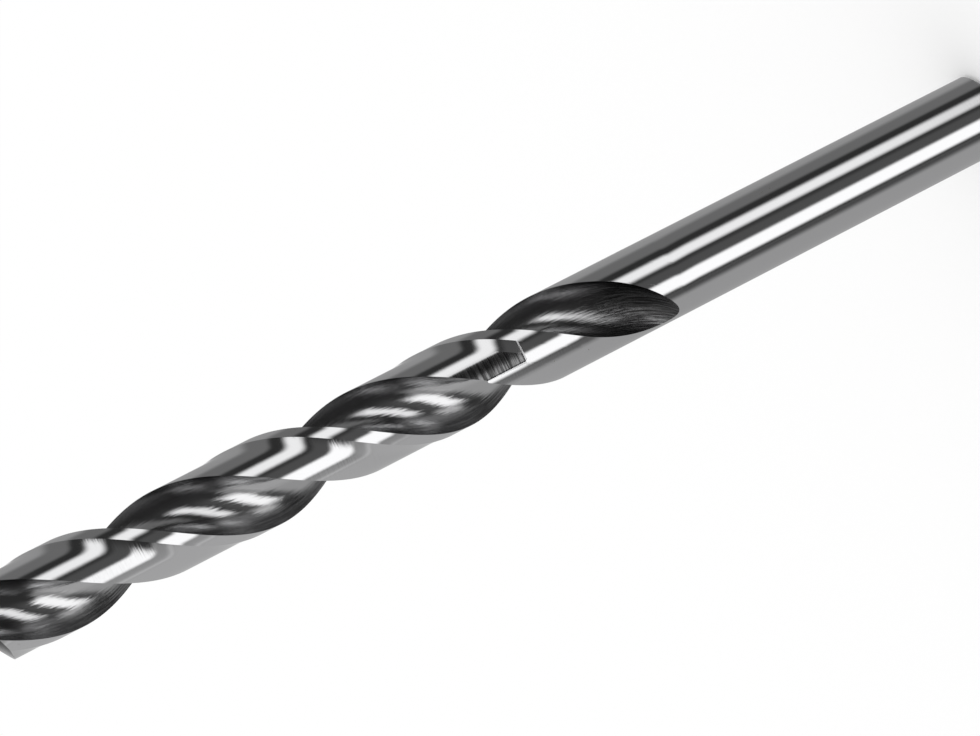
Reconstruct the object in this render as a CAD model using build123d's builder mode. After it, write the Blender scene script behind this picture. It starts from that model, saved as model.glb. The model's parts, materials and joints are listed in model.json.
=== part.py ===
"""Twist drill bit, ground from one round bar of high-speed steel.

The drill stands on its shank end: +Z runs up the axis to the point, the origin is the centre of the
shank end face, and one lip lies along +X. Millimetres and degrees throughout.

The body turns as it rises, so most sketches are drawn on a plane that turns with the helix. On that
plane +X passes through the cutting edge, the land lies behind it (clockwise) and the flute ahead.
"""

import os
from math import acos, asin, cos, degrees, hypot, radians, sin, sqrt, tan

from build123d import *

# ---------------------------------------------------------------- driving dimensions
diameter = 9.5  # over the margins at the point
back_taper = 0.04  # loss of diameter from the point to the shank, so that the drill doesn't bind
overall_length = 125.0  # shank end to chisel edge
flute_length = 82.0  # chisel edge to the last trace of the flutes
helix_lead = 45.6  # height of one full turn, a helix of about 33 degrees
web_thickness = 1.6  # core left between the two flutes
point_angle = 118.0  # between the two lips
chisel_angle = 130.0  # between a lip and the chisel edge, seen from the point
flank_axis_offset = 4.3  # from the drill axis to the flank cone's axis, across the lip

land_angle = 88.5  # round the axis, cutting edge to heel
margin_width = 1.5  # full-diameter strip behind the cutting edge, round the axis
body_clearance = 0.27  # depth ground off the land behind the margin
clearance_length = 63.6  # chisel edge to the step where the ground-back land begins
step_corner_angle = 48.6  # round the axis, cutting edge to the corner of that step

runout_length = 12.0  # height over which the flute wheel lifts out of the bar
taper_lead = 3.0  # plain bar between the shank and the last trace of the flutes
shank_chamfer = 0.6  # at the edge of the shank end

# ---------------------------------------------------------------- construction allowances
overshoot = 1.2  # how far a cutter reaches past the surface it cuts
runout_overshoot = 0.3  # how far the flute wheel travels past the last trace of the flute
bow_height = 3.6  # how far the flute cutter's outer side bows out of the bar
overrun_angle = 15.0  # how far a cutter's curve is carried on past the surface it cuts
flat_dip = 0.02  # how far the flat at the margin runs below the ground-back land it meets
rake_stations = 6  # points that the rake curve is drawn through
lift_stations = 10  # flute sections in the run-out
upright = (Align.CENTER, Align.CENTER, Align.MIN)

# ---------------------------------------------------------------- derived sizes
radius = diameter / 2
shank_radius = (diameter - back_taper) / 2
web_radius = web_thickness / 2
clearance_radius = radius - body_clearance
cutter_radius = radius + overshoot
wedge_reach = cutter_radius + overshoot
turn_per_height = 360.0 / helix_lead
lip_slope = 1 / tan(radians(point_angle / 2))
lip_reach = sqrt(radius**2 - web_radius**2)
corner_angle = degrees(asin(web_radius / radius))

# A flank is part of a cone whose axis is parallel to the drill's and stands off it, so that the
# flank falls away behind its lip. Where the two cones meet they leave the chisel edge.
flank_axis_x = -flank_axis_offset * tan(radians(180 - chisel_angle))
flank_axis_y = flank_axis_offset
chisel_reach = web_radius / tan(radians(180 - chisel_angle))


def flank_distance(x):
    """Distance from a flank cone's axis to the lip point at x."""
    return hypot(x - flank_axis_x, web_radius - flank_axis_y)


flank_fall = flank_distance(lip_reach) - flank_distance(chisel_reach)
flank_slope = lip_slope * (lip_reach - chisel_reach) / flank_fall
flank_apex = overall_length + flank_slope * hypot(flank_axis_x, flank_axis_y)
corner_height = flank_apex - flank_slope * flank_distance(lip_reach)

step_height = overall_length - clearance_length
runout_end = overall_length - flute_length
lift_start = runout_end + runout_length
shank_length = runout_end - taper_lead
taper_slope = (radius - shank_radius) / (corner_height - shank_length)
top_radius = radius + taper_slope * (overall_length - corner_height)
cutter_top = overall_length + overshoot


def section_plane(height):
    """The plane at a height that has turned with the helix, so that +X meets the cutting edge."""
    angle = radians(corner_angle + (height - corner_height) * turn_per_height)
    return Plane(origin=(0, 0, height), x_dir=(cos(angle), sin(angle), 0), z_dir=(0, 0, 1))


def polar(distance, angle):
    """A point at a distance from the axis and an angle in degrees from the cutting edge."""
    return Vector(distance * cos(radians(angle)), distance * sin(radians(angle)))


# ---------------------------------------------------------------- flute section
# The rake curve is the one that leaves a straight lip: each point of the lip, carried down its own
# helix to the section. The lip lies web_radius ahead of the centre line.
def rake_angle_at(distance):
    """Angle from the cutting edge of the rake curve at a distance from the axis."""
    reach = sqrt(max(distance**2 - web_radius**2, 0))
    lip_angle = degrees(asin(min(web_radius / distance, 1)))
    return lip_angle - corner_angle - (lip_reach - reach) * lip_slope * turn_per_height


rake_radii = [
    web_radius + (cutter_radius - web_radius) * (1 - i / (rake_stations - 1)) ** 2
    for i in range(rake_stations)
]
rake_points = [polar(r, rake_angle_at(r)) for r in rake_radii]

# The heel side is one arc, tangent to the core where the rake curve ends, out to the heel.
core_angle = rake_angle_at(web_radius)
core_point = rake_points[-1]
core_tangent = polar(1, core_angle + 90)
heel_point = polar(radius, 180 - land_angle)
heel_chord = heel_point - core_point
heel_turn = 2 * core_tangent.get_angle(heel_chord)
heel_radius = heel_chord.length / (2 * sin(radians(heel_turn / 2)))
heel_overrun = degrees(overshoot / heel_radius)

# The wheel lifts straight away from the core, along an arc that clears the bar at the run-out end.
lift_height = radius - web_radius
lift_radius = (runout_length**2 + lift_height**2) / (2 * lift_height)


def lift_at(height):
    """How far the flute wheel stands off its full depth at a height in the run-out."""
    rise = max(lift_start - height, 0)
    return lift_radius - sqrt(lift_radius**2 - rise**2)


def flute_section(height):
    """Draws the flute wheel's section at a height, open curve inside and a bow outside the bar."""
    shift = polar(lift_at(height), core_angle)
    with BuildSketch(section_plane(height)) as section:
        with BuildLine():
            rake = Spline([point + shift for point in rake_points])
            heel = JernArc(rake @ 1, core_tangent, heel_radius, -(heel_turn + heel_overrun))
            bow_top = polar(radius + bow_height, (180 - land_angle) / 2) + shift
            ThreePointArc(heel @ 1, bow_top, rake @ 0)
        make_face()
    return section.sketch


# ---------------------------------------------------------------- cutters
# Flute at full depth: one section, turned as it rises along the axis.
with BuildPart() as flute_cutter:
    add(flute_section(lift_start))
    with BuildLine():
        rise = Line((0, 0, lift_start), (0, 0, cutter_top))
    flute_rise = cutter_top - lift_start
    guide = Helix(helix_lead, flute_rise, radius, center=(0, 0, lift_start), mode=Mode.PRIVATE)
    sweep(path=rise, binormal=guide)

# Flute run-out: the same section, lifting out of the bar as the wheel leaves.
lift_span = runout_length + runout_overshoot
with BuildPart() as runout_cutter:
    for i in range(lift_stations + 1):
        add(flute_section(lift_start - lift_span * i / lift_stations))
    loft()

# Body clearance: the land behind the margin is ground back to a smaller round. A flat leads down to
# it from the foot of the margin, all but tangent to that round.
margin_angle = degrees(margin_width / radius)
flat_distance = clearance_radius - flat_dip
flat_direction = -margin_angle - degrees(acos(flat_distance / radius))
flat_end = flat_direction + degrees(acos(flat_distance / cutter_radius))
behind_heel = -land_angle - overrun_angle

with BuildPart() as clearance_cutter:
    with BuildSketch(section_plane(step_height)):
        with BuildLine():
            Line(polar(cutter_radius, flat_end), polar(flat_distance, flat_direction))
            floor = CenterArc((0, 0), flat_distance, flat_direction, behind_heel - flat_direction)
            Line(floor @ 1, polar(cutter_radius, behind_heel))
            CenterArc((0, 0), cutter_radius, behind_heel, flat_end - behind_heel)
        make_face()
    with BuildLine():
        rise = Line((0, 0, step_height), (0, 0, cutter_top))
    clearance_rise = cutter_top - step_height
    guide = Helix(helix_lead, clearance_rise, radius, center=(0, 0, step_height), mode=Mode.PRIVATE)
    sweep(path=rise, binormal=guide)
    Cylinder(clearance_radius, cutter_top + overshoot, align=upright, mode=Mode.SUBTRACT)
    # The wheel starts beside the heel, so a corner of the land stays at full diameter behind a
    # straight edge, until the heel has turned past it.
    heel_rise = (land_angle - step_corner_angle + overrun_angle) / turn_per_height
    with BuildSketch(section_plane(step_height)):
        with BuildLine():
            Line((0, 0), polar(wedge_reach, -step_corner_angle))
            wedge_end = CenterArc((0, 0), wedge_reach, -step_corner_angle, -land_angle)
            Line(wedge_end @ 1, (0, 0))
        make_face()
    extrude(amount=heel_rise, mode=Mode.SUBTRACT)

# Flank: everything above the offset cone is ground away.
with BuildPart() as flank_cutter:
    flank_plane = Plane(origin=(flank_axis_x, flank_axis_y, 0), x_dir=(1, 0, 0), z_dir=(0, -1, 0))
    flank_reach = hypot(flank_axis_x, flank_axis_y) + cutter_radius
    with BuildSketch(flank_plane):
        with BuildLine():
            Polyline(
                (0, flank_apex),
                (flank_reach, flank_apex - flank_reach * flank_slope),
                (flank_reach, flank_apex + overshoot),
                (0, flank_apex + overshoot),
                close=True,
            )
        make_face()
    revolve(axis=Axis((flank_axis_x, flank_axis_y, 0), (0, 0, 1)))

# ---------------------------------------------------------------- the drill
# The bar is plain over the shank and tapers very slightly over the body, widest at the point.
with BuildPart() as drill_bit:
    Cylinder(shank_radius, shank_length, align=upright)
    chamfer(drill_bit.edges().sort_by(Axis.Z)[0], shank_chamfer)
    with Locations((0, 0, shank_length)):
        Cone(shank_radius, top_radius, overall_length - shank_length, align=upright)
    for cutter in (flute_cutter, runout_cutter, clearance_cutter, flank_cutter):
        with PolarLocations(0, 2):
            add(cutter.part, mode=Mode.SUBTRACT)

drill_bit.part.label = "drill_bit"

os.makedirs("parts", exist_ok=True)
export_step(drill_bit.part, "parts/drill_bit.step")
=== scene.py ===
# %% [markdown]
# # A ground twist drill
# A twist drill is one bar of hardened steel. Two spiral flutes are ground into it, a thin margin is
# left at full diameter beside each flute, and two cone-shaped flanks make the point.
# The CAD frame already holds that form, but as flat facets. A polished tool is judged by the way
# its reflections run, so this lesson builds the skin again as smooth surfaces from the same sizes.

import json
from math import acos, asin, atan2, cos, degrees, hypot, pi, radians, sin, sqrt, tan

import bmesh
import bpy
import numpy as np
from mathutils import Matrix, Vector


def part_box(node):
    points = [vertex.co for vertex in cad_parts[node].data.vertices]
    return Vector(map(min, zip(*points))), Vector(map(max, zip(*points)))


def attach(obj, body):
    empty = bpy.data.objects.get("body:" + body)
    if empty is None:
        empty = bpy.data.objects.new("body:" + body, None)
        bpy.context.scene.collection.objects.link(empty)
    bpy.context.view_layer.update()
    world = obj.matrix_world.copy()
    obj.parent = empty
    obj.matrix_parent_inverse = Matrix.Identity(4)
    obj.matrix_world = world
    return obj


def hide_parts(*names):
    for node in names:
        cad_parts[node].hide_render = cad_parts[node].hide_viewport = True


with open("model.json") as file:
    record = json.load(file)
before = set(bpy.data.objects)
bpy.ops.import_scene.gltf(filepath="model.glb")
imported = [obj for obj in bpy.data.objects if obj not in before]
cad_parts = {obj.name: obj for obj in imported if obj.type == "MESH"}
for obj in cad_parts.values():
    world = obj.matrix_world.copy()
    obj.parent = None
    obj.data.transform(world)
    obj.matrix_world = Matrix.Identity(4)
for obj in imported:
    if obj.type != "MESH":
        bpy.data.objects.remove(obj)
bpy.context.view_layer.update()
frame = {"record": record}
mm = 0.001
low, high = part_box("drill_bit")
print("CAD box in mm:", [round(c / mm, 2) for c in (*low, *high)])

# %% [markdown]
# ## The sizes that drive the form
# The height comes from the frame's box and the shank from the record's mount, so a change in the
# CAD carries over. The rest are the drill's own grinding sizes, in millimetres and degrees.

# %% Driving sizes
overall_length = high.z / mm
shank_mount = [m for m in frame["record"]["mounts"] if m["name"] == "shank"][0]
shank_radius = shank_mount["dims"]["r_mm"]
radius = 9.5 / 2
flute_length = 82.0
helix_lead = 45.6
web_radius = 1.6 / 2
point_angle = 118.0
chisel_angle = 130.0
flank_axis_offset = 4.3
land_angle = 88.5
margin_width = 1.5
clearance_radius = radius - 0.27
clearance_length = 63.6
step_corner_angle = 48.6
runout_length = 12.0
taper_lead = 3.0
shank_chamfer = 0.6

# %% Heights and angles that follow from them
turn = 2 * pi / helix_lead
lip_slope = 1 / tan(radians(point_angle / 2))
lip_reach = sqrt(radius**2 - web_radius**2)
corner_angle = asin(web_radius / radius)
chisel_reach = web_radius / tan(radians(180 - chisel_angle))
flank_axis = np.array([-flank_axis_offset * tan(radians(180 - chisel_angle)), flank_axis_offset])


def flank_distance(x):
    """Distance from a flank cone's axis to the lip point at x."""
    return hypot(x - flank_axis[0], web_radius - flank_axis[1])


flank_fall = flank_distance(lip_reach) - flank_distance(chisel_reach)
flank_slope = lip_slope * (lip_reach - chisel_reach) / flank_fall
flank_apex = overall_length + flank_slope * hypot(*flank_axis)
corner_height = flank_apex - flank_slope * flank_distance(lip_reach)
step_height = overall_length - clearance_length
runout_end = overall_length - flute_length
lift_start = runout_end + runout_length
shank_length = runout_end - taper_lead
taper_slope = (radius - shank_radius) / (corner_height - shank_length)
lift_height = radius - web_radius
lift_radius = (runout_length**2 + lift_height**2) / (2 * lift_height)
print("outer corners at", round(corner_height, 3), "mm, step at", round(step_height, 3), "mm")

# %% [markdown]
# ## The turning frame
# Everything on the body turns as it rises. So each shape is drawn once, flat, in a frame whose x
# axis passes through the cutting edge, and one function turns it to its height. A point there is
# an angle u from the cutting edge and a distance r from the axis.


# %% Turning a section to its height
def edge_angle(z):
    """Angle of the cutting edge at height z: it makes one turn in each lead."""
    return corner_angle + (z - corner_height) * turn


def turned(x, y, z):
    """Points (x, y) of the turning frame at height z, as points of the real one."""
    a = edge_angle(z)
    x, y, z = np.broadcast_arrays(x * np.cos(a) - y * np.sin(a), x * np.sin(a) + y * np.cos(a), z)
    return np.stack([x, y, z], -1)


def turned_polar(r, u, z):
    """The point at distance r and angle u from the cutting edge, at height z."""
    return turned(r * np.cos(u), r * np.sin(u), z)


def body_radius(z):
    """Radius of the bar: plain over the shank, then wider by the back taper up to the point."""
    return shank_radius + taper_slope * np.maximum(z - shank_length, 0)


def flank_height(x, y):
    """Height of the ground point over (x, y): the lower of two cones whose axes stand off centre."""
    one = np.hypot(x - flank_axis[0], y - flank_axis[1])
    other = np.hypot(x + flank_axis[0], y + flank_axis[1])
    return flank_apex - flank_slope * np.maximum(one, other)


# %% [markdown]
# ## The flute's section
# A flute has two sides. The rake side ends at the lip and has to leave that lip straight, so each
# of its points is a point of the straight lip carried down its own helix. The heel side is one arc,
# tangent to the thin core between the flutes.


# %% Rake side and heel side
def rake_point(reach):
    """Section point that rises to the lip point at this distance along the lip: its radius is the
    hypotenuse of reach and half the web, and it lags by the turn made over the height between."""
    r = np.hypot(reach, web_radius)
    u = np.arcsin(web_radius / r) - corner_angle - (lip_reach - reach) * lip_slope * turn
    return np.stack([r * np.cos(u), r * np.sin(u)], -1), u


core_point, core_angle = rake_point(0.0)
core_out = np.array([cos(core_angle), sin(core_angle)])
heel_corner = radius * np.array([cos(pi - radians(land_angle)), sin(pi - radians(land_angle))])
heel_chord = heel_corner - core_point
heel_tilt = acos(np.array([-core_out[1], core_out[0]]) @ heel_chord / hypot(*heel_chord))
heel_radius = hypot(*heel_chord) / (2 * sin(heel_tilt))
heel_offset = web_radius + heel_radius
print("heel side radius", round(heel_radius, 3), "mm, core at", round(degrees(core_angle), 1), "degrees")


def swing(offset, circle_radius, r):
    """Law of cosines: how far round a circle, whose centre is offset from the axis, its point at
    distance r from the axis lies, counted from the direction that leads away from the axis."""
    return np.arccos((r**2 - offset**2 - circle_radius**2) / (2 * offset * circle_radius))


def circle_point(offset, direction, circle_radius, swung):
    """The point of such a circle that is swung round it from its outward direction."""
    a = direction + swung
    x = offset * cos(direction) + circle_radius * np.cos(a)
    y = offset * sin(direction) + circle_radius * np.sin(a)
    return np.stack([x, y], -1)


def heel_angle(r):
    """Angle from the cutting edge, clockwise, at which the land ends on the heel, at radius r."""
    p = circle_point(heel_offset, core_angle, heel_radius, swing(heel_offset, heel_radius, r))
    return np.arctan2(p[..., 1], p[..., 0]) - pi


def edge_reach(r):
    """How far along the lip the section point of radius r belongs."""
    return np.sqrt(r**2 - web_radius**2)


# %% [markdown]
# ## One row of columns across the flute
# A surface is easiest to make as a grid: rows up the drill, columns across it. The columns crowd
# together at both edges, because the run-out cuts those edges at a shallow angle and a coarse grid
# would show there as corners.

# %% Columns across the flute
lip_columns = 40
core_columns = 5
heel_columns = lip_columns - core_columns
rim_columns = 8
crowding = 1.8
lip_share = 1 - np.linspace(0, 1, lip_columns + 1) ** crowding
cone_rounds = 60  # repetitions in which a point carried up to the cones comes to rest
meeting_samples = 400


def chisel_meeting():
    """Where along the lip the two cones meet: each section point is carried up to the cones by
    repetition, and the reach at which it stands equally far from both cone axes is read off."""
    reach = np.linspace(0.5, 1.5, meeting_samples) * chisel_reach
    flat, _ = rake_point(reach)
    z = np.full(len(reach), overall_length)
    for _ in range(cone_rounds):
        p = turned(flat[:, 0], flat[:, 1], z)
        z = flank_height(p[:, 0], p[:, 1])
    return np.interp(0, p[:, :2] @ flank_axis * -1, reach)


meeting_reach = chisel_meeting()
core_share = np.linspace(1, 0, core_columns + 1)[1:]
heel_share = np.linspace(0, 1, heel_columns + 1)[1:]
rim_share = 1 - (1 - np.linspace(0, 1, rim_columns + 1)[1:]) ** crowding
print("the cones meet at a reach of", round(float(meeting_reach), 3), "mm along the lip")

# %% [markdown]
# ## The wheel's round corner
# A grinding wheel has no sharp corner, so it leaves a low swell of steel where the heel side runs
# into the core. The swell could be a third arc, fitted between the other two. A smooth hump along
# the section's normal is simpler: it keeps every column where it is, and it can fade out below the
# point, where the lip has to stay straight.

# %% The swell between core and heel
rounding = 0.22
rounding_start = 2.5  # mm along the section from the cutting edge, as the next two
rounding_top = 5.7
rounding_end = 8.6


def smooth(t):
    """Smooth step from 0 to 1: 3t^2 - 2t^3, held at both ends."""
    t = np.clip(t, 0, 1)
    return t * t * (3 - 2 * t)


def wheel_rounding(row):
    """How far each section point moves: along the section's normal, by the rounding times a smooth
    rise and a smooth fall of its distance along the section."""
    run = np.diff(row, axis=1, prepend=row[:, :1])
    s = np.cumsum(np.hypot(run[..., 0], run[..., 1]), 1)
    rise = smooth((s - rounding_start) / (rounding_top - rounding_start))
    fall = smooth((rounding_end - s) / (rounding_end - rounding_top))
    along = np.gradient(row, axis=1)
    along /= np.hypot(along[..., 0], along[..., 1])[..., None]
    normal = np.stack([along[..., 1], -along[..., 0]], -1)
    return normal * (rounding * rise * fall)[..., None]


# %% One whole row
def flute_row(r, rounded=1.0):
    """Section points of the flute, one row for each outer radius r (a column of numbers): along
    the lip, down to the core, up the heel side to the ground-back radius, and on to the rim."""
    reach = meeting_reach + (edge_reach(r) - meeting_reach) * lip_share
    reach = np.concatenate([reach, meeting_reach * core_share + 0 * r], 1)
    rake, _ = rake_point(reach)
    floor_swing = swing(heel_offset, heel_radius, clearance_radius)
    rim_swing = swing(heel_offset, heel_radius, r)
    to_floor = pi + (floor_swing - pi) * heel_share + 0 * r
    to_rim = floor_swing + (rim_swing - floor_swing) * rim_share
    swung = np.concatenate([to_floor, to_rim], 1)
    heel = circle_point(heel_offset, core_angle, heel_radius, swung)
    row = np.concatenate([rake, heel], 1)
    return row + wheel_rounding(row) * np.asarray(rounded)[..., None]


# %% [markdown]
# ## Where the wheel leaves the bar
# At the end of its cut the grinding wheel lifts away from the core along an arc. Each section point
# follows that arc until it meets the round of the bar, and those meeting points draw the flute's
# rounded end.


# %% The run-out
def lift_at(z):
    """How far the wheel stands off its full depth at height z: an arc of the lift radius."""
    rise = np.maximum(lift_start - z, 0)
    return lift_radius - np.sqrt(lift_radius**2 - rise**2)


exit_rounds = 8  # repetitions in which the height where a point leaves the bar comes to rest
last_row = flute_row(np.array([[body_radius(lift_start)]]))[0]
exit_height = np.full(len(last_row), lift_start)
for _ in range(exit_rounds):
    outward = last_row @ core_out
    room = outward**2 - (last_row**2).sum(1) + body_radius(exit_height) ** 2
    exit_lift = np.maximum(np.sqrt(room) - outward, 0)
    exit_height = lift_start - np.sqrt(lift_radius**2 - (lift_radius - exit_lift) ** 2)
exit_point = last_row + exit_lift[:, None] * core_out
exit_angle = np.arctan2(exit_point[:, 1], exit_point[:, 0])
print("the flute runs out at", round(exit_height.min(), 2), "mm above the shank end")

# %% [markdown]
# ## The land behind the cutting edge
# The margin keeps the full diameter. Behind it the land is ground back to a smaller round, which a
# flat leads down to from the foot of the margin. The wheel blends the two, so the flat isn't drawn
# as a chord, which would meet the round in a crease: it is a radius that swells with the angle,
# eased in over a few degrees. All this starts at a step half way up the body. At the step a corner
# of the land beside the heel is left standing behind a straight edge, until the turning heel has
# passed it.

# %% Columns across the land
margin_angle = margin_width / radius
flat_direction = -margin_angle - acos(clearance_radius / radius)
flat_blend = radians(8)
floor_columns = 30
flat_columns = 14
margin_columns = 5
corner_columns = 14
corner_top = step_height + (-heel_angle(clearance_radius) - radians(step_corner_angle)) / turn
print("the standing corner ends", round(float(corner_top - step_height), 2), "mm above the step")


def relief_radius(u):
    """Radius of the relieved land at angle u. It is the clearance radius, then swells by half the
    square of the angle as a flat does; a cube over the blend on both sides joins the two gently."""
    p = u - flat_direction
    eased = np.clip(p + flat_blend, 0, 2 * flat_blend)
    swell = eased**3 / (12 * flat_blend) + np.where(p > flat_blend, (p**2 - flat_blend**2) / 2, 0)
    return clearance_radius * (1 + swell)


def flat_row(r):
    """Points of the flat from its direction to the margin's foot, for each outer radius r: the foot
    is the angle at which the swelling land reaches r."""
    reach = np.sqrt(2 * (r / clearance_radius - 1) - flat_blend**2 / 3)
    u = flat_direction + reach * np.linspace(0, 1, flat_columns + 1)
    return np.stack([relief_radius(u) * np.cos(u), relief_radius(u) * np.sin(u)], -1)


def angle_of(points):
    """Angle of each point (x, y) round the axis."""
    return np.arctan2(points[..., 1], points[..., 0])


def corner_edge(z):
    """Angle of the straight edge beside the heel: fixed on the bar, so it lags as the body turns."""
    return -radians(step_corner_angle) - (z - step_height) * turn


def floor_row(z):
    """Angles across the ground-back round: from the straight edge, later the heel, to the flat."""
    start = np.maximum(corner_edge(z), heel_angle(clearance_radius))
    start = np.minimum(start, corner_edge(step_height))
    return start + (flat_direction - start) * np.linspace(0, 1, floor_columns + 1)


def margin_row(r):
    """Angles across the margin, from its foot to the cutting edge, for each outer radius r."""
    foot = angle_of(flat_row(r))[:, -1:]
    edge = angle_of(rake_point(edge_reach(r))[0])
    return foot + (edge - foot) * np.linspace(0, 1, margin_columns + 1)


def plain_land_row(r):
    """Angles across the land below the step, with the columns that the step will need."""
    corner_end = -radians(step_corner_angle)
    corner = heel_angle(r) + (corner_end - heel_angle(r)) * np.linspace(0, 1, corner_columns + 1)
    top = np.array([[body_radius(step_height)]])
    flat = angle_of(flat_row(top))
    middle = np.concatenate([floor_row(step_height + 0 * top)[:, 1:], flat[:, 1:]], 1)
    foot = flat[:, -1:]
    edge = angle_of(rake_point(edge_reach(r))[0])
    margin = foot + (edge - foot) * np.linspace(0, 1, margin_columns + 1)[1:]
    return np.concatenate([corner, middle + 0 * r, margin], 1)


# %% [markdown]
# ## Grids into one skin
# Each stretch of surface is now a grid of points. All grids share their border points exactly, so
# they can be pooled and welded into one closed skin. The body has two equal halves, so every
# stretch is added twice, the second time turned by half a turn.

# %% Collecting the stretches
stretches = []
finishes = ["round_ground", "flute_ground", "relief_ground", "point_ground", "broken_edge_painted_bright"]
body_step = 0.3  # between rows where the flute is whole, in mm
plain_step = 0.6
tip_rows = 6


def heights(*stops, step=body_step):
    """Rows up the drill through the given stops, evenly spaced between them, as one column."""
    spans = list(zip(stops, stops[1:]))
    rows = [np.linspace(a, b, max(2, int(round((b - a) / step)) + 1)) for a, b in spans]
    return np.unique(np.concatenate(rows))[:, None]


def add_stretch(points, finish, halves=2, across=None):
    """Keeps a grid of points (rows, columns, 3) with the finish that its surface gets, and with how
    far across it each column lies: in millimetres where given, else from 0 to 1."""
    if across is None:
        across = np.linspace(0, 1, points.shape[1])
    for turned_over in (1, -1)[:halves]:
        half = points * np.array([turned_over, turned_over, 1])
        stretches.append((half, finishes.index(finish), across))


def to_the_point(section, z):
    """Adds rows that carry each column on to the flanks. A column's last height is where it meets
    the cones, found by repeating: height of the cone over the place that the last height gave."""
    top = np.full(section(z[-1:]).shape[:2], z[-1, 0])
    for _ in range(cone_rounds):
        reached = section(top)
        top = flank_height(reached[..., 0], reached[..., 1])
    share = np.linspace(0, 1, tip_rows + 1)[1:, None]
    z = np.concatenate([z + 0 * top, z[-1] + (top - z[-1]) * share])
    return section(z)


# %% Each stretch at any height
body_top = 121.2  # the last row that lies level: above it the columns end on the cones
rounding_fade = 4.0
flute_split = 2 * lip_columns


def flute_section(z):
    """Each flute column at its own height: the columns share a row's outer radius."""
    z = np.broadcast_to(z, (len(z), flute_split + 1))
    rounded = smooth((body_top - z[:, :1]) / rounding_fade)
    rows = flute_row(body_radius(z[:, :1]), rounded)[:, : flute_split + 1]
    return turned(rows[..., 0], rows[..., 1], z)


def floor_section(z):
    """Each column of the ground-back floor at its own height, on the relieved land's radius."""
    z = np.broadcast_to(z, (len(z), floor_columns + 1))
    u = floor_row(z[:, :1])
    return turned_polar(relief_radius(u), u, z)


def flat_section(z):
    """Each column of the flat at its own height, up to the margin's foot on the bar's radius."""
    z = np.broadcast_to(z, (len(z), flat_columns + 1))
    rows = flat_row(body_radius(z[:, :1]))
    return turned(rows[..., 0], rows[..., 1], z)


def margin_section(z):
    """Each column of the margin at its own height, on the bar's radius."""
    z = np.broadcast_to(z, (len(z), margin_columns + 1))
    r = body_radius(z[:, :1])
    return turned_polar(r, margin_row(r), z)


# %% [markdown]
# ## Flutes and lands
# The flute's grid climbs the body, and its last rows are carried on until every column stands on
# the flank cones, which makes the lip exact. The run-out is a grid of its own, whose columns start
# where the wheel came out of the bar. Cutting the flutes from a cylinder is less work, but it
# leaves slivers at the border, and in polished steel each one shows.

# %% Flutes
runout_rows = 40
last_steps = np.diff(last_row, axis=0, prepend=last_row[:1])
flute_across = np.cumsum(np.hypot(last_steps[:, 0], last_steps[:, 1]))
print("the flute is", round(flute_across[-1], 2), "mm across, measured along its section")
body_rows = heights(lift_start, step_height, corner_top, body_top)
flute_grid = to_the_point(flute_section, body_rows)
add_stretch(flute_grid, "flute_ground", across=flute_across[: flute_split + 1])

rim_rows = heights(lift_start, step_height, corner_top)
rim_grid = flute_row(body_radius(rim_rows))[:, flute_split:]
rim_across = flute_across[flute_split:]
add_stretch(turned(rim_grid[..., 0], rim_grid[..., 1], rim_rows), "flute_ground", across=rim_across)

runout_share = np.linspace(0, 1, runout_rows + 1)[:, None]
runout_heights = exit_height + (lift_start - exit_height) * runout_share
runout_grid = last_row + lift_at(runout_heights)[..., None] * core_out
runout_grid = turned(runout_grid[..., 0], runout_grid[..., 1], runout_heights)
add_stretch(runout_grid, "flute_ground", across=flute_across)
print("flute grid", flute_grid.shape[:2], "run-out grid", runout_grid.shape[:2])

# %% Lands at full diameter, below the step
rim_gap = 1.0  # plain bar between the shank's ring and the end of the run-out
plain_rim = runout_end - rim_gap
low_rows = heights(plain_rim, lift_start, step=plain_step)
low_land = plain_land_row(np.array([[body_radius(lift_start)]]))
add_stretch(turned_polar(body_radius(low_rows), low_land, low_rows), "round_ground")
land_rows = heights(lift_start, step_height)
land_r = body_radius(land_rows)
add_stretch(turned_polar(land_r, plain_land_row(land_r), land_rows), "round_ground")

under_share = (low_rows - plain_rim) / (lift_start - plain_rim)
under_heights = plain_rim + (exit_height - plain_rim) * under_share
add_stretch(turned_polar(body_radius(under_heights), exit_angle, under_heights), "round_ground")
print("plain land grids:", len(low_rows), "and", len(land_rows), "rows of", low_land.shape[1], "points")

# %% [markdown]
# ## The step
# Above the step the land's floor lies lower, so the corner that is left standing needs a wall along
# its straight edge and a cap where it ends. Both take their columns from the flute's rim, which
# climbs through the same radii, so their borders weld. The step itself is the floor's and the
# flat's own line, drawn out to the bar's radius.

# %% The standing corner beside the heel, and its walls
corner_rows = heights(step_height, corner_top)
corner_r = body_radius(corner_rows)
corner_share = np.linspace(0, 1, corner_columns + 1)
corner_angles = heel_angle(corner_r) + (corner_edge(corner_rows) - heel_angle(corner_r)) * corner_share
add_stretch(turned_polar(corner_r, corner_angles, corner_rows), "round_ground")


def wall_radii(r):
    """Radii from the ground-back floor up to r: those of the flute's rim columns at the heel."""
    rim = flute_row(r)[:, flute_split:]
    return np.hypot(rim[..., 0], rim[..., 1])


wall_r = wall_radii(corner_r)
add_stretch(turned_polar(wall_r, corner_edge(corner_rows), corner_rows), "broken_edge_painted_bright")

cap_r = wall_r[-1:].T
cap_angles = heel_angle(cap_r) + (corner_edge(corner_top) - heel_angle(cap_r)) * corner_share
add_stretch(turned_polar(cap_r, cap_angles, corner_top), "broken_edge_painted_bright")

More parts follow.
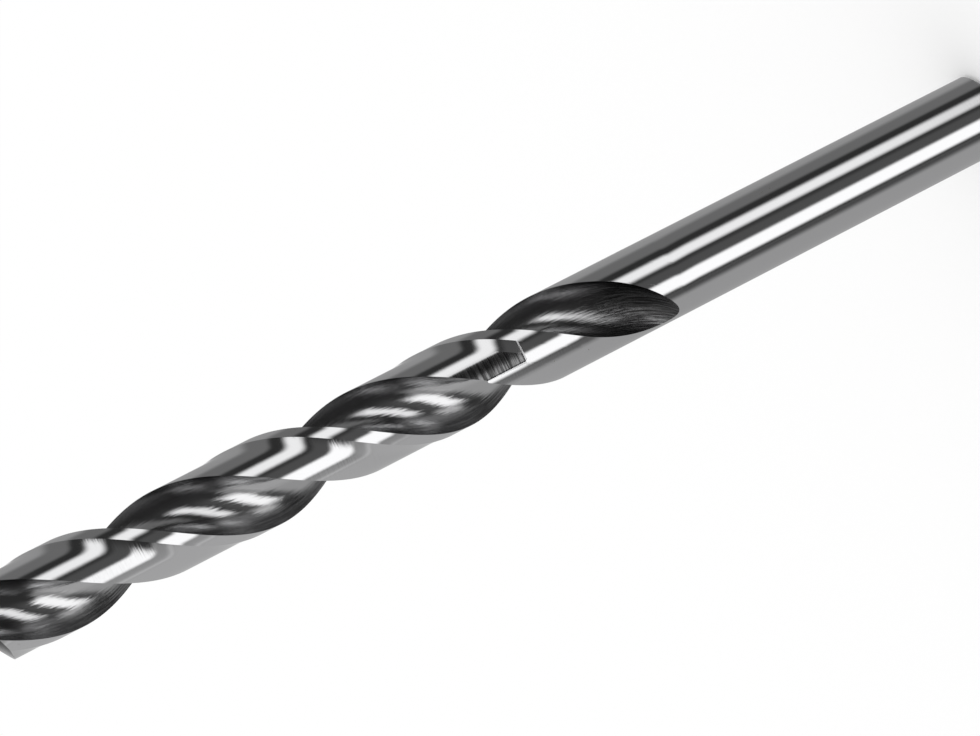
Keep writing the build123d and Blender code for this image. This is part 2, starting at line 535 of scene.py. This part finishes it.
step_r = np.array([[body_radius(step_height)]])
step_floor = floor_section(np.array([[step_height]]))[0]
step_flat = flat_row(step_r)[0]
step_inner = np.concatenate([step_floor, turned(step_flat[1:, 0], step_flat[1:, 1], step_height)])
inner_r = np.hypot(step_inner[:, 0], step_inner[:, 1])
wall_share = (wall_r[0] - clearance_radius) / (wall_r[0, -1] - clearance_radius)
step_scale = 1 + (step_r[0, 0] / inner_r - 1) * wall_share[:, None]
step_grid = step_inner[None] * np.stack([step_scale, step_scale, 0 * step_scale + 1], -1)
add_stretch(step_grid, "broken_edge_painted_bright")
print("the step is", round(float(step_r[0, 0] - clearance_radius), 3), "mm high")

# %% Ground-back floor, flat and margin up to the flanks
off_the_floor = 100  # added to the flat's place, so that no zone of the floor reaches it
relief_rows = heights(step_height, corner_top, body_top)
floor_grid = to_the_point(floor_section, relief_rows)
flat_grid = to_the_point(flat_section, relief_rows)
margin_grid = to_the_point(margin_section, relief_rows)
past_edge = angle_of(floor_grid) - edge_angle(step_height) + radians(step_corner_angle)
past_edge = radius * (np.mod(past_edge + pi, 2 * pi) - pi)
add_stretch(floor_grid, "relief_ground", across=past_edge)
flat_across = off_the_floor + np.linspace(0, 1, flat_columns + 1)
add_stretch(flat_grid, "relief_ground", across=flat_across)
add_stretch(margin_grid, "round_ground")

# %% [markdown]
# ## The point
# Each flank is a patch with four sides: the lip, the chisel edge, the other flute's heel side and
# the outer border of the land. A Coons patch fills four such border lines in plan, by adding the
# two blends between opposite borders and taking away the blend of the corners. The height over
# each plan point is then the flank's own cone, so the patch is exact.


# %% Flanks
def coons(left, right, bottom, top):
    """Fills four border lines: blend left to right, plus blend bottom to top, minus the corners."""
    s = np.linspace(0, 1, len(bottom))[None, :, None]
    t = np.linspace(0, 1, len(left))[:, None, None]
    sides = left[:, None] * (1 - s) + right[:, None] * s
    ends = bottom[None] * (1 - t) + top[None] * t
    low_corners = left[0] * (1 - s) + right[0] * s
    high_corners = left[-1] * (1 - s) + right[-1] * s
    return sides + ends - (low_corners * (1 - t) + high_corners * t)


half_turn = np.array([-1, -1, 1])
flute_end = flute_grid[-1]
lip = flute_end[: lip_columns + 1][::-1]
heel_line = flute_end[lip_columns:] * half_turn
border = np.concatenate([floor_grid[-1], flat_grid[-1][1:], margin_grid[-1][1:]])[::-1]
chisel_share = np.linspace(1, -1, len(border))[:, None]
chisel = lip[0, :2] * chisel_share
chisel = np.column_stack([chisel, flank_height(chisel[:, 0], chisel[:, 1])])
flank_grid = coons(lip, heel_line, chisel, border)
from_axis = np.hypot(flank_grid[..., 0] - flank_axis[0], flank_grid[..., 1] - flank_axis[1])
inside = np.s_[1:-1, 1:-1]
flank_grid[..., 2][inside] = (flank_apex - flank_slope * from_axis)[inside]
add_stretch(flank_grid, "point_ground")
print("chisel edge", round(2 * hypot(*lip[0, :2]), 2), "mm long")

# %% [markdown]
# ## The shank
# The plain bar below the flutes takes its ring of points from the rows above it, so nothing has to
# be fitted to them. The chamfer is one more row of that ring, and the end face is the ring drawn
# together to the axis.

# %% Shank, chamfer and end face
shank_stops = (8, 16, 24, 32)  # rows between the chamfer and the taper, in mm
low_angles = np.concatenate([low_land[0], exit_angle[1:]])
ring = edge_angle(plain_rim) + np.concatenate([low_angles, low_angles[1:] + pi])
shank_rows = np.array([[0.0, shank_chamfer, *shank_stops, shank_length, plain_rim]]).T
shank_r = np.where(shank_rows > 0, body_radius(shank_rows), shank_radius - shank_chamfer)
shank_place = np.broadcast_arrays(shank_r * np.cos(ring), shank_r * np.sin(ring), shank_rows)
shank_grid = np.stack(shank_place, -1)
add_stretch(shank_grid[1:], "round_ground", halves=1)
add_stretch(shank_grid[:2], "relief_ground", halves=1)
end_scale = np.array([0.0, 1.0])[:, None, None]
add_stretch(shank_grid[:1] * end_scale, "relief_ground", halves=1)
print("the skin is made of", len(stretches), "stretches")

# %% [markdown]
# ## Pooling the grids
# The grids go into one list of points and one of faces. Every point also keeps its place on its own
# grid, how far across it lies and its height, so that a finish can follow a flute round the drill.


# %% From grids to one list
def grid_faces(rows, columns, first):
    """Four corner numbers for each cell of a grid whose first point has the number given."""
    n = first + np.arange(rows * columns).reshape(rows, columns)
    return np.stack([n[:-1, :-1], n[:-1, 1:], n[1:, 1:], n[1:, :-1]], -1).reshape(-1, 4)


points, faces, finish_of, places = [], [], [], []
count = 0
for grid, finish, across in stretches:
    cells = grid_faces(*grid.shape[:2], count)
    points.append(grid.reshape(-1, 3))
    own_place = np.stack([np.broadcast_to(across, grid.shape[:2]), grid[..., 2]], -1)
    places.append(own_place.reshape(-1, 2))
    faces.append(cells)
    finish_of.append(np.full(len(cells), finish))
    count += grid.shape[0] * grid.shape[1]
points = np.concatenate(points)
faces = np.concatenate(faces)
finish_of = np.concatenate(finish_of)
places = np.concatenate(places)
print("pooled:", len(points), "points and", len(faces), "faces")

# %% [markdown]
# ## Broken edges
# A freshly ground edge is sharp enough to cut, so it is broken with a stone, and the narrow slope
# catches a line of light. A bevel would cut new faces. Here the points of the wall's outer border
# move back instead, at the step down the drill and at the straight edge round it, and the wall
# becomes the slope.

# %% The step's edge and the straight edge
hair = 0.0003  # in mm: points closer than this are one
step_break = 0.16
edge_break = 0.25
ends_kept = 0.02  # radians at each end of the step that stay, so that the corners stay shut
on_edge = 1e-6  # radians
outer = np.hypot(points[:, 0], points[:, 1]) > body_radius(points[:, 2]) - hair
behind = np.mod(edge_angle(points[:, 2]) - np.arctan2(points[:, 1], points[:, 0]), pi)
at_step = outer & (abs(points[:, 2] - step_height) < hair)
at_step &= behind > margin_angle + ends_kept
at_step &= behind < radians(step_corner_angle) - ends_kept
points[at_step, 2] -= step_break
at_edge = outer & (abs(behind + corner_edge(points[:, 2])) < on_edge)
at_edge &= (points[:, 2] > step_height - hair) & (points[:, 2] < corner_top + hair)
shift = -edge_break / radius * at_edge
points[:, 0], points[:, 1] = (
    points[:, 0] * np.cos(shift) - points[:, 1] * np.sin(shift),
    points[:, 0] * np.sin(shift) + points[:, 1] * np.cos(shift),
)
print("broken edges:", at_step.sum(), "points at the step,", at_edge.sum(), "at the straight edges")
points *= mm

# %% [markdown]
# ## Welding
# Points closer than a hair are merged, which closes the borders and the poles, and the faces are
# turned to look outwards. A closed skin has no open edge, so the count of those is the test that
# every border matched.

# %% One closed skin
weld_distance = hair * mm
sharp_angle = radians(12)
skin = bpy.data.meshes.new("drill_skin")
skin.vertices.add(len(points))
skin.vertices.foreach_set("co", points.ravel())
skin.loops.add(faces.size)
skin.loops.foreach_set("vertex_index", faces.ravel())
skin.polygons.add(len(faces))
skin.polygons.foreach_set("loop_start", np.arange(0, faces.size, 4))
skin.polygons.foreach_set("material_index", finish_of)
skin.uv_layers.new(name="place").uv.foreach_set("vector", places[faces].ravel())
skin.update(calc_edges=True)

work = bmesh.new()
work.from_mesh(skin)
bmesh.ops.remove_doubles(work, verts=work.verts, dist=weld_distance)
bmesh.ops.dissolve_degenerate(work, edges=work.edges, dist=weld_distance)
bmesh.ops.recalc_face_normals(work, faces=work.faces)
open_edges = sum(not edge.is_manifold for edge in work.edges)
volume = work.calc_volume(signed=True) / mm**3
work.to_mesh(skin)
work.free()
skin.set_sharp_from_angle(angle=sharp_angle)
print("skin:", len(skin.polygons), "faces,", open_edges, "open edges, volume", round(volume, 1), "mm3")

# %% The drill takes the CAD body's place
drill = bpy.data.objects.new("drill_bit_skin", skin)
bpy.context.scene.collection.objects.link(drill)
skin.polygons.foreach_set("use_smooth", np.ones(len(skin.polygons), bool))
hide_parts("drill_bit")
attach(drill, "root")


# %% [markdown]
# ## Steel that has been ground
# Every surface here was cut by a wheel, and a wheel leaves fine lines that run the way it moved.
# The lines tip the reflections a little, so a window's edge looks drawn with a dry brush. One node
# group makes such lines for all finishes, by stretching a noise along them. On the bar they run
# round it, so the noise is made over the drill's own coordinates. In a flute they follow the helix,
# so it is made over the place on the grid.


# %% Node helpers
def new_node(tree, kind, **settings):
    """Adds a node and sets its properties or, where a name is a socket's, that socket's value."""
    node = tree.nodes.new(kind)
    for name, value in settings.items():
        if hasattr(node, name):
            setattr(node, name, value)
        else:
            node.inputs[name.replace("_", " ")].default_value = value
    return node


def feed(tree, socket, value):
    """Sets a socket to a number or links another node's output to it."""
    if hasattr(value, "links"):
        tree.links.new(value, socket)
    else:
        socket.default_value = value


def maths(tree, operation, *values):
    """Adds a Math node over numbers or other nodes' outputs, and returns its output."""
    node = tree.nodes.new("ShaderNodeMath")
    node.operation = operation
    for socket, value in zip(node.inputs, values):
        feed(tree, socket, value)
    return node.outputs[0]


def new_group(name, inputs, outputs):
    """Starts a node group with named number sockets, and returns it with its two ends' sockets."""
    group = bpy.data.node_groups.new(name, "ShaderNodeTree")
    for way, sockets in (("INPUT", inputs), ("OUTPUT", outputs)):
        for socket in sockets:
            group.interface.new_socket(socket, in_out=way, socket_type="NodeSocketFloat")
    return group, group.nodes.new("NodeGroupInput").outputs, group.nodes.new("NodeGroupOutput").inputs


def use_group(tree, group, **values):
    """Places a group in a tree and gives its inputs their values."""
    node = tree.nodes.new("ShaderNodeGroup")
    node.node_tree = group
    for name, value in values.items():
        feed(tree, node.inputs[name.replace("_", " ")], value)
    return node.outputs


# %% Places in millimetres
def place_on_drill(tree):
    """The Object coordinates in millimetres."""
    scaled = new_node(tree, "ShaderNodeVectorMath", operation="SCALE")
    tree.links.new(new_node(tree, "ShaderNodeTexCoord").outputs["Object"], scaled.inputs[0])
    scaled.inputs["Scale"].default_value = 1 / mm
    return scaled.outputs[0]


def place_on_grid(tree):
    """The place kept with each point: across its grid and up the drill."""
    return new_node(tree, "ShaderNodeUVMap", uv_map="place").outputs[0]


def smooth_ramp(tree, value, low, high):
    """0 below low, 1 above high and a smooth rise between."""
    ramp = new_node(tree, "ShaderNodeMapRange", interpolation_type="SMOOTHSTEP")
    feed(tree, ramp.inputs["Value"], value)
    feed(tree, ramp.inputs["From Min"], low)
    feed(tree, ramp.inputs["From Max"], high)
    return ramp.outputs["Result"]


# %% Grinding lines
patch_scale = 0.55  # patches of wear for each millimetre
streak_low, streak_high = 0.38, 0.66  # the noise's values between which a streak fades in
lines_inputs = ["Follow", "Along", "Across", "Up", "Unevenness"]
lines_outputs = ["Height", "Streaks", "Patches"]
lines_group, given, made = new_group("grinding_lines", lines_inputs, lines_outputs)
choose = new_node(lines_group, "ShaderNodeMix", data_type="VECTOR")
vector_in = [socket for socket in choose.inputs if socket.type == "VECTOR" and socket.name in "AB"]
feed(lines_group, choose.inputs[0], given["Follow"])
feed(lines_group, vector_in[0], place_on_drill(lines_group))
feed(lines_group, vector_in[1], place_on_grid(lines_group))
place = [socket for socket in choose.outputs if socket.type == "VECTOR"][0]
stretch = new_node(lines_group, "ShaderNodeCombineXYZ")
for axis, socket in zip("XYZ", ("Along", "Across", "Up")):
    feed(lines_group, stretch.inputs[axis], given[socket])
fine_place = new_node(lines_group, "ShaderNodeVectorMath", operation="MULTIPLY")
lines_group.links.new(place, fine_place.inputs[0])
lines_group.links.new(stretch.outputs[0], fine_place.inputs[1])
fine = new_node(lines_group, "ShaderNodeTexNoise", Scale=1.0, Detail=3.0, Roughness=0.6)
lines_group.links.new(fine_place.outputs[0], fine.inputs["Vector"])
broad = new_node(lines_group, "ShaderNodeTexNoise", Scale=patch_scale, Detail=2.0)
lines_group.links.new(place, broad.inputs["Vector"])
uneven = maths(lines_group, "MULTIPLY_ADD", broad.outputs["Fac"], given["Unevenness"], 1.0)
feed(lines_group, made["Height"], maths(lines_group, "MULTIPLY", fine.outputs["Fac"], uneven))
streaks = smooth_ramp(lines_group, fine.outputs["Fac"], streak_low, streak_high)
feed(lines_group, made["Streaks"], streaks)
feed(lines_group, made["Patches"], broad.outputs["Fac"])
print("grinding lines:", len(lines_group.nodes), "nodes")

# %% [markdown]
# ## Specks
# Handling leaves a second layer: specks of dust and tiny chips, spread thinly. They are rougher
# than the ground steel, so they show pale in the dark gaps and grey in the bright windows. A cell
# pattern gives one round spot a cell, and most of the cells are left clean.

# %% Specks
clean_share = 0.88
specks_group, given, made = new_group("specks", ["Spread", "Size"], ["Mask"])
cells = new_node(specks_group, "ShaderNodeTexVoronoi", feature="F1")
feed(specks_group, cells.inputs["Vector"], place_on_drill(specks_group))
feed(specks_group, cells.inputs["Scale"], given["Spread"])
draw = maths(specks_group, "FRACT", cells.outputs["Color"])
chosen = maths(specks_group, "GREATER_THAN", draw, clean_share)
near = maths(specks_group, "LESS_THAN", cells.outputs["Distance"], given["Size"])
feed(specks_group, made["Mask"], maths(specks_group, "MULTIPLY", near, chosen))
print("specks:", len(specks_group.nodes), "nodes")

# %% [markdown]
# ## Where the steel is duller, with painted shade
# The wheel doesn't leave the same shine everywhere. It rubs beside the cutting edge and the heel,
# in the run-out and just above the step, and the steel is rougher and more torn there. Its colour
# is also made darker there, and that darkening is painted shade: it stands in for the dark
# reflections and self-shade of the hollow flute and of the land beside the step. A piece for each
# zone would put a border where there is none, so two masks find the zones on the whole skin: one
# fades with the height, the other marks a band across a grid.

# %% Fade by height
fade_group, given, made = new_group("fade_by_height", ["Low", "High"], ["Mask"])
height = new_node(fade_group, "ShaderNodeSeparateXYZ")
feed(fade_group, height.inputs[0], place_on_drill(fade_group))
feed(fade_group, made["Mask"], smooth_ramp(fade_group, height.outputs["Z"], given["Low"], given["High"]))

# %% Zone across a grid
zone_group, given, made = new_group("zone_across", ["Low", "High", "Soft"], ["Mask"])
kept = new_node(zone_group, "ShaderNodeSeparateXYZ")
feed(zone_group, kept.inputs[0], place_on_grid(zone_group))
after = maths(zone_group, "SUBTRACT", kept.outputs["X"], given["Low"])
before = maths(zone_group, "SUBTRACT", given["High"], kept.outputs["X"])
inside_by = maths(zone_group, "DIVIDE", maths(zone_group, "MINIMUM", after, before), given["Soft"])
feed(zone_group, made["Mask"], smooth_ramp(zone_group, inside_by, 0.0, 1.0))

# %% Duller zones, with painted shade
edge_zone = dict(Low=-1.0, High=2.2, Soft=1.2)  # mm across the flute from the cutting edge
heel_zone = dict(Low=5.8, High=20.0, Soft=1.0)
edge_dullness_and_shade = 0.8
heel_dullness_and_shade = 0.4
runout_fade = dict(Low=48.0, High=57.0)  # mm above the shank end
step_fade = dict(Low=74.0, High=76.0)
step_zone = dict(Low=-1.0, High=2.5, Soft=0.3)  # mm round the bar from the straight edge


def dull_and_shade_in_flute(tree):
    """Rougher steel and painted shade: beside the cutting edge and the heel, and in the run-out."""
    edge_side = use_group(tree, zone_group, **edge_zone)["Mask"]
    heel_side = use_group(tree, zone_group, **heel_zone)["Mask"]
    edge_dull_and_shade = maths(tree, "MULTIPLY", edge_side, edge_dullness_and_shade)
    heel_dull_and_shade = maths(tree, "MULTIPLY", heel_side, heel_dullness_and_shade)
    sides = maths(tree, "MAXIMUM", edge_dull_and_shade, heel_dull_and_shade)
    upper = use_group(tree, fade_group, **runout_fade)["Mask"]
    return maths(tree, "MAXIMUM", sides, maths(tree, "SUBTRACT", 1.0, upper))


def dull_and_shade_by_step(tree):
    """Rougher steel and painted shade, just above the step on a strip beside the straight edge, where
    the wheel was lifted off.
    """
    upper = use_group(tree, fade_group, **step_fade)["Mask"]
    strip = use_group(tree, zone_group, **step_zone)["Mask"]
    return maths(tree, "MULTIPLY", maths(tree, "SUBTRACT", 1.0, upper), strip)


# %% [markdown]
# ## Five finishes from one recipe
# The round of the bar is ground finest and the flutes coarsest, the lands and flanks lie between,
# and the broken edges are stoned, with a near-white tone that paints a highlight along them. So one
# function builds each finish from its tone, its roughness and its lines. Streaks of colour show only
# in the duller zones, where the wheel tore the steel; their dark greys are painted shade.

# %% One ground finish
# painted shade: the two greys that darken the steel in the duller zones, in its scores and between them
painted_shade_tones = (0.05, 0.24)  # the dull steel's greys, in its scores and between them
dull_roughness = 0.15
dull_depth = 2.5
specks_per_mm = 1.3
speck_roughness = 0.5
speck_colour = (0.45, 0.44, 0.42, 1)


def steel_grey(tone):
    """A grey with the faint blue of steel."""
    return (tone, tone, tone * 1.01, 1)


def ground_steel(name, tone, roughness, patchiness, lines, depth_mm, speck_size, dull_and_shade=None):
    """A steel whose fine lines come from the group, where lines gives their stretch. The last argument
    makes a mask in the material's tree: where it is 1 the steel is rougher, and darker by painted shade."""
    material = bpy.data.materials.new(name)
    material.use_nodes = True
    tree = material.node_tree
    shader = tree.nodes["Principled BSDF"]
    shader.inputs["Metallic"].default_value = 1
    ground = use_group(tree, lines_group, **lines)
    speck = use_group(tree, specks_group, Spread=specks_per_mm, Size=speck_size)["Mask"]
    rough = maths(tree, "MULTIPLY_ADD", ground["Patches"], patchiness, roughness - patchiness / 2)
    steel = new_node(tree, "ShaderNodeMix", data_type="RGBA")
    steel.inputs["A"].default_value = steel_grey(tone)
    painted_shade_steel = new_node(tree, "ShaderNodeMix", data_type="RGBA")
    tree.links.new(ground["Streaks"], painted_shade_steel.inputs["Factor"])
    for end, grey in zip("AB", painted_shade_tones):
        painted_shade_steel.inputs[end].default_value = steel_grey(grey)
    tree.links.new(painted_shade_steel.outputs["Result"], steel.inputs["B"])
    # the duller zones' mask: rougher steel, deeper lines, and painted shade in the colour
    mask = dull_and_shade(tree) if dull_and_shade else 0.0
    feed(tree, steel.inputs["Factor"], mask)
    rough = maths(tree, "MULTIPLY_ADD", mask, dull_roughness, rough)
    rough = maths(tree, "MAXIMUM", rough, maths(tree, "MULTIPLY", speck, speck_roughness))
    feed(tree, shader.inputs["Roughness"], rough)
    colour = new_node(tree, "ShaderNodeMix", data_type="RGBA")
    tree.links.new(speck, colour.inputs["Factor"])
    tree.links.new(steel.outputs["Result"], colour.inputs["A"])
    colour.inputs["B"].default_value = speck_colour
    tree.links.new(colour.outputs["Result"], shader.inputs["Base Color"])
    deep = maths(tree, "MULTIPLY", ground["Height"], maths(tree, "MULTIPLY_ADD", mask, dull_depth, 1.0))
    bump = new_node(tree, "ShaderNodeBump", Strength=1.0, Distance=depth_mm * mm)
    tree.links.new(deep, bump.inputs["Height"])
    tree.links.new(bump.outputs[0], shader.inputs["Normal"])
    return material


# %% The five finishes
round_the_bar = dict(Follow=0.0, Along=0.25, Across=0.25, Up=9.0, Unevenness=0.5)
along_the_flute = dict(Follow=1.0, Along=5.0, Across=0.25, Up=1.0, Unevenness=1.0)
round_the_land = dict(Follow=0.0, Along=0.3, Across=0.3, Up=6.0, Unevenness=1.0)
round_the_point = dict(Follow=0.0, Along=1.5, Across=1.5, Up=9.0, Unevenness=0.5)

# name: tone, roughness and patchiness; lines and their depth in mm; speck size; duller zone with painted
# shade
finish_settings = {
    "round_ground": (0.62, 0.09, 0.05, round_the_bar, 0.0015, 0.1, None),
    "flute_ground": (0.58, 0.1, 0.06, along_the_flute, 0.012, 0.09, dull_and_shade_in_flute),
    "relief_ground": (0.62, 0.09, 0.06, round_the_land, 0.006, 0.1, dull_and_shade_by_step),
    "point_ground": (0.45, 0.25, 0.1, round_the_point, 0.006, 0.1, None),
    # the broken edges' near-white tone is a painted highlight: it paints their line of light into the
    # colour
    "broken_edge_painted_bright": (0.95, 0.5, 0.1, round_the_bar, 0.002, 0.02, None),
}
for name in finishes:
    skin.materials.append(ground_steel(name, *finish_settings[name]))
print("finishes:", finishes)

# %% [markdown]
# ## A studio for a bright tool
# Polished steel has hardly any look of its own: it shows what stands round it. A photographer
# therefore surrounds it with soft windows of light and dark gaps between them, and the gaps draw
# the form. Here that studio is a large sphere that only reflections see. Its brightness is worked
# out from the direction: azimuth round the drill, counted from the camera, and elevation.

# %% A soft window
window_inputs = ["Azimuth", "Elevation", "Centre", "Half Width", "Softness"]
window_inputs += ["Height", "Half Height", "Height Softness", "Brightness"]
window_group, given, made = new_group("soft_window", window_inputs, ["Light"])


def soft_side(tree, off, half, soft):
    """1 inside a band and 0 outside, with a smooth fall of the given softness at both sides."""
    ramp = new_node(tree, "ShaderNodeMapRange", interpolation_type="SMOOTHERSTEP")
    feed(tree, ramp.inputs["Value"], maths(tree, "ABSOLUTE", off))
    feed(tree, ramp.inputs["From Min"], maths(tree, "SUBTRACT", half, soft))
    feed(tree, ramp.inputs["From Max"], maths(tree, "ADD", half, soft))
    ramp.inputs["To Min"].default_value = 1
    ramp.inputs["To Max"].default_value = 0
    return ramp.outputs["Result"]


round_off = maths(window_group, "SUBTRACT", given["Azimuth"], given["Centre"])
round_off = maths(window_group, "WRAP", round_off, 180.0, -180.0)
sideways = soft_side(window_group, round_off, given["Half Width"], given["Softness"])
up_off = maths(window_group, "SUBTRACT", given["Elevation"], given["Height"])
upways = soft_side(window_group, up_off, given["Half Height"], given["Height Softness"])
shape = maths(window_group, "MULTIPLY", sideways, upways)
feed(window_group, made["Light"], maths(window_group, "MULTIPLY", shape, given["Brightness"]))

# %% The tent
tent_radius = 2.0
rings, spokes = 33, 65
ring_angle = np.linspace(-pi / 2, pi / 2, rings)[:, None]
spoke_angle = np.linspace(0, 2 * pi, spokes)[None]
tent_x = np.cos(ring_angle) * np.cos(spoke_angle)
tent_y = np.cos(ring_angle) * np.sin(spoke_angle)
tent_z = np.sin(ring_angle) + 0 * spoke_angle
tent_points = tent_radius * np.stack([tent_x, tent_y, tent_z], -1).reshape(-1, 3)
tent_mesh = bpy.data.meshes.new("light_tent")
tent_mesh.from_pydata(tent_points.tolist(), [], grid_faces(rings, spokes, 0).tolist())
tent = bpy.data.objects.new("light_tent", tent_mesh)
bpy.context.scene.collection.objects.link(tent)
tent.visible_camera = False
tent.visible_diffuse = False
tent.visible_shadow = False

# %% The tent's windows
camera_place = Vector((-200.504, -137.216, 117.724)) * mm
dim_light = 0.04  # the studio between its windows
tent_paint = bpy.data.materials.new("soft_windows")
tent_paint.use_nodes = True
tree = tent_paint.node_tree
tree.nodes.clear()
aim = new_node(tree, "ShaderNodeVectorRotate", rotation_type="Z_AXIS")
aim.inputs["Angle"].default_value = -atan2(camera_place.y, camera_place.x)
tree.links.new(new_node(tree, "ShaderNodeTexCoord").outputs["Object"], aim.inputs["Vector"])
unit = new_node(tree, "ShaderNodeVectorMath", operation="NORMALIZE")
tree.links.new(aim.outputs[0], unit.inputs[0])
split = new_node(tree, "ShaderNodeSeparateXYZ")
tree.links.new(unit.outputs[0], split.inputs[0])
azimuth = maths(tree, "DEGREES", maths(tree, "ARCTAN2", split.outputs["Y"], split.outputs["X"]))
elevation = maths(tree, "DEGREES", maths(tree, "ARCSINE", split.outputs["Z"]))

# name: azimuth, half width and softness; height, half height and softness; brightness
windows = {
    "key box": (-28, 15.5, 6, -15, 23, 8, 1.55),
    "key foot": (2, 20, 12, -44, 7, 7, 0.65),
    "fill box": (38, 12.5, 8, -4, 24, 7, 1.3),
    "gap card": (0, 14, 8, -15, 30, 15, 0.07),
    "left wall": (-122, 54, 10, -15, 42, 16, 0.42),
    "left wall, upper": (-116, 54, 8, 4, 14, 8, 0.1),
    "left wall, near": (-56, 14, 5, 6, 16, 7, 0.33),
    "left gap": (-59, 9, 5, -20, 24, 12, 0.07),
    "right wall, near": (126, 52, 7, -15, 42, 20, 0.17),
    "right wall, far": (150, 38, 12, -15, 42, 20, 0.2),
    "upper right": (112, 26, 20, 38, 14, 12, 0.5),
    "backdrop": (178, 10, 8, 0, 30, 14, 0.4),
    "ceiling": (0, 200, 1, 82, 24, 10, 0.95),
    "ground": (0, 200, 1, -80, 22, 14, 0.12),
}
light = dim_light
for name, values in windows.items():
    settings = dict(zip(window_inputs[2:], values))
    window = use_group(tree, window_group, Azimuth=azimuth, Elevation=elevation, **settings)
    light = maths(tree, "ADD", light, window["Light"])
glow = new_node(tree, "ShaderNodeEmission")
tree.links.new(light, glow.inputs["Strength"])
tree.links.new(glow.outputs[0], new_node(tree, "ShaderNodeOutputMaterial").inputs["Surface"])
tent_mesh.materials.append(tent_paint)
print("tent:", len(windows), "soft windows")

# %% [markdown]
# ## Floor and backdrop
# The floor is pale and plain and runs into a white world. It gives light back as a matt white
# card does, and for the eye a little more, up to plain white, so that only the drill's soft shadow
# is left on it.

# %% White floor
half_side = 3.0
corners = half_side * np.array([(-1, -1, 0), (1, -1, 0), (1, 1, 0), (-1, 1, 0)])
floor_mesh = bpy.data.meshes.new("floor")
floor_mesh.from_pydata(corners.tolist(), [], [(0, 1, 2, 3)])
floor = bpy.data.objects.new("floor", floor_mesh)
bpy.context.scene.collection.objects.link(floor)
floor_white = 0.8
floor_paint = bpy.data.materials.new("white_card")
floor_paint.use_nodes = True
tree = floor_paint.node_tree
card = tree.nodes["Principled BSDF"]
card.inputs["Base Color"].default_value = (floor_white, floor_white, floor_white, 1)
card.inputs["Roughness"].default_value = 1
card.inputs["Specular IOR Level"].default_value = 0
card.inputs["Emission Color"].default_value = (1, 1, 1, 1)
seen = new_node(tree, "ShaderNodeLightPath").outputs
mirrored = maths(tree, "MAXIMUM", seen["Is Glossy Ray"], seen["Is Transmission Ray"])
in_view = maths(tree, "MAXIMUM", seen["Is Camera Ray"], mirrored)
feed(tree, card.inputs["Emission Strength"], maths(tree, "MULTIPLY", in_view, 1 - floor_white))
floor_mesh.materials.append(floor_paint)
floor.visible_glossy = False

# %% World and view
world = bpy.data.worlds.new("studio")
bpy.context.scene.world = world
world.use_nodes = True
world.node_tree.nodes["Background"].inputs["Color"].default_value = (1, 1, 1, 1)
world.node_tree.nodes["Background"].inputs["Strength"].default_value = 1
bpy.context.scene.view_settings.view_transform = "Standard"

# %% [markdown]
# ## Camera
# A long lens looks down on the standing drill. The camera is rolled far over, so the drill lies
# slanting across the picture, with the shank's end at the right edge and the point at the left.

# %% Camera
picture_width = 980
focal_pixels = 2321.9
camera_data = bpy.data.cameras.new("camera")
camera_data.sensor_width = 36
camera_data.lens = focal_pixels / picture_width * camera_data.sensor_width
camera_data.clip_start = 0.01
camera = bpy.data.objects.new("camera", camera_data)
bpy.context.scene.collection.objects.link(camera)
bpy.context.scene.camera = camera
camera_view = Vector((0.805494, 0.552186, -0.215102)).normalized()
camera_roll = radians(117.193)
level_right = camera_view.cross(Vector((0, 0, 1))).normalized()
level_up = level_right.cross(camera_view)
up = level_up * cos(camera_roll) + level_right * sin(camera_roll)
right = camera_view.cross(up)
camera_axes = Matrix((right, up, -camera_view)).transposed()
camera.matrix_world = Matrix.Translation(camera_place) @ camera_axes.to_4x4()
print("lens:", round(camera_data.lens, 1), "mm")
